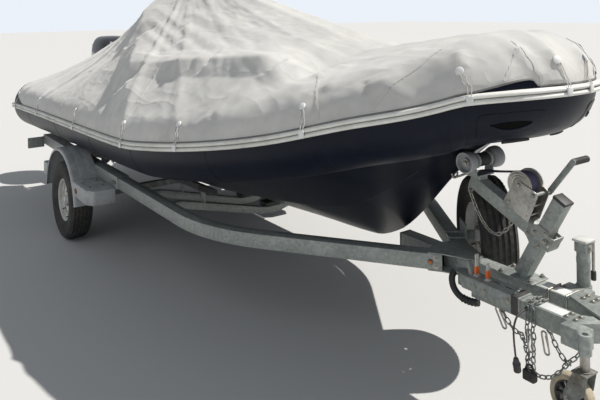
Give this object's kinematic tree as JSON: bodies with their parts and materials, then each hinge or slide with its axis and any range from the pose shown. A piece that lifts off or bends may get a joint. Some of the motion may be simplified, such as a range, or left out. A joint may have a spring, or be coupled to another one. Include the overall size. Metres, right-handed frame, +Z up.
{
  "type": "rigid inflatable boat on a folding-tongue trailer",
  "caption": "Covered rigid inflatable boat with outboard motor on a galvanised single axle trailer with jack, winch stand, spare wheel and folding tongue.",
  "frame": {"origin": "bottom centre of the bounding box, at floor level midway along boat and trailer", "axes": "+X to the bow along the keel, +Y to port, +Z up"},
  "size_m": [6.1122, 2.1526, 2.13],
  "materials": {
    "hull_gloss": "dark navy gel coat",
    "tube_navy": "coated fabric, semi-gloss",
    "strake_white": "off-white rubber",
    "cover_grey": "light grey woven canvas",
    "galvanised": "hot-dip galvanised",
    "fender_grey": "satin grey",
    "tyre_black": "worn tread",
    "rim_pale": "pale grey enamel with rust",
    "motor_dark": "dark metallic enamel",
    "motor_maroon": "dark red enamel",
    "motor_grey": "dark grey enamel",
    "black_plastic": "moulded",
    "carpet": "bunk carpet",
    "webbing": "woven strap",
    "lamp_red": "clear red",
    "lamp_amber": "clear amber",
    "roller_black": "ribbed roller",
    "caster_tan": "tan plastic",
    "zinc": "zinc plated"
  },
  "bodies": {
    "frame": {"arm_plates": "galvanised", "axle": "galvanised", "bunk_brackets": "galvanised", "bunks": "carpet", "buoyancy_tube": "tube_navy", "crossmembers": "galvanised", "end_caps": "black_plastic", "fenders": "fender_grey", "front_rails": "galvanised", "hinge_plates": "galvanised", "hull": "hull_gloss", "jack_leg": "zinc", "jack_tube": "galvanised", "keel_pads": "black_plastic", "lamp_brackets": "galvanised", "leaf_springs": "galvanised", "marker_lamps": "lamp_amber", "mooring_cover": "cover_grey", "motor_clamp": "motor_grey", "rubbing_strake": "strake_white", "side_rails": "galvanised", "spare_carrier": "galvanised", "spare_rim": "rim_pale", "spare_tyre": "tyre_black", "tail_lamps": "lamp_red", "tongue": "galvanised", "tongue_joint_plates": "galvanised", "transom": "hull_gloss", "tube_cones": "black_plastic", "winch_arm": "galvanised", "winch_frame": "galvanised", "winch_post": "galvanised"},
    "wheel_right": {"tyre_right": "tyre_black", "wheel_rim_right": "rim_pale"},
    "wheel_left": {"tyre_left": "tyre_black", "wheel_rim_left": "rim_pale"},
    "motor_tilt": {"motor_swivel": "motor_grey"},
    "motor_head": {"motor_leg": "motor_grey", "motor_tray": "motor_maroon", "motor_cowl": "motor_dark"},
    "propeller_turn": {"propeller": "motor_grey"},
    "drum_turn": {"winch_drum": "zinc", "winch_strap_turns": "webbing"},
    "crank_turn": {"winch_crank": "zinc"},
    "roller_turn": {"bow_roller": "roller_black"},
    "caster_turn": {"caster_fork": "galvanised"},
    "caster_wheel_turn": {"caster_wheel": "caster_tan"},
    "fold_turn": {"folding_tongue": "galvanised", "coupler": "galvanised", "cable_gland": "black_plastic", "tow_cable": "black_plastic", "tow_plug": "black_plastic"}
  },
  "joints": [
    {"name": "wheel_right_spin", "type": "hinge", "parent": "frame", "child": "wheel_right", "pos_m": [-0.9699, -0.9498, 0.305], "axis": [0, 1, 0], "continuous": true},
    {"name": "wheel_left_spin", "type": "hinge", "parent": "frame", "child": "wheel_left", "pos_m": [-0.9699, 0.9498, 0.305], "axis": [0, 1, 0], "continuous": true},
    {"name": "motor_tilt_hinge", "type": "hinge", "parent": "frame", "child": "motor_tilt", "pos_m": [-2.4752, 0, 0.985], "axis": [0, 1, 0], "range_deg": [0, 65]},
    {"name": "motor_steer", "type": "hinge", "parent": "motor_tilt", "child": "motor_head", "pos_m": [-2.6252, 0, 0.795], "axis": [0, 0, 1], "range_deg": [-30, 30]},
    {"name": "propeller_spin", "type": "hinge", "parent": "motor_head", "child": "propeller_turn", "pos_m": [-2.8792, 0, 0.247], "axis": [1, 0, 0], "continuous": true},
    {"name": "drum_spin", "type": "hinge", "parent": "frame", "child": "drum_turn", "pos_m": [2.5991, 0, 1.022], "axis": [0, 1, 0], "continuous": true},
    {"name": "crank_spin", "type": "hinge", "parent": "frame", "child": "crank_turn", "pos_m": [2.6701, 0, 0.99], "axis": [0, 1, 0], "continuous": true},
    {"name": "roller_spin", "type": "hinge", "parent": "frame", "child": "roller_turn", "pos_m": [2.3621, 0, 1.085], "axis": [0, 1, 0], "continuous": true},
    {"name": "caster_swivel", "type": "hinge", "parent": "frame", "child": "caster_turn", "pos_m": [2.7901, 0.135, 0.23], "axis": [0, 0, 1], "continuous": true},
    {"name": "caster_wheel_spin", "type": "hinge", "parent": "caster_turn", "child": "caster_wheel_turn", "pos_m": [2.7301, 0.135, 0.1], "axis": [0, 1, 0], "continuous": true},
    {"name": "tongue_fold", "type": "hinge", "parent": "frame", "child": "fold_turn", "pos_m": [3.0301, -0.085, 0.61], "axis": [0, 0, 1], "range_deg": [0, 180]}
  ],
  "couplings": [
    {"joint": "drum_spin", "follows": "crank_spin", "ratio": -0.2}
  ]
}
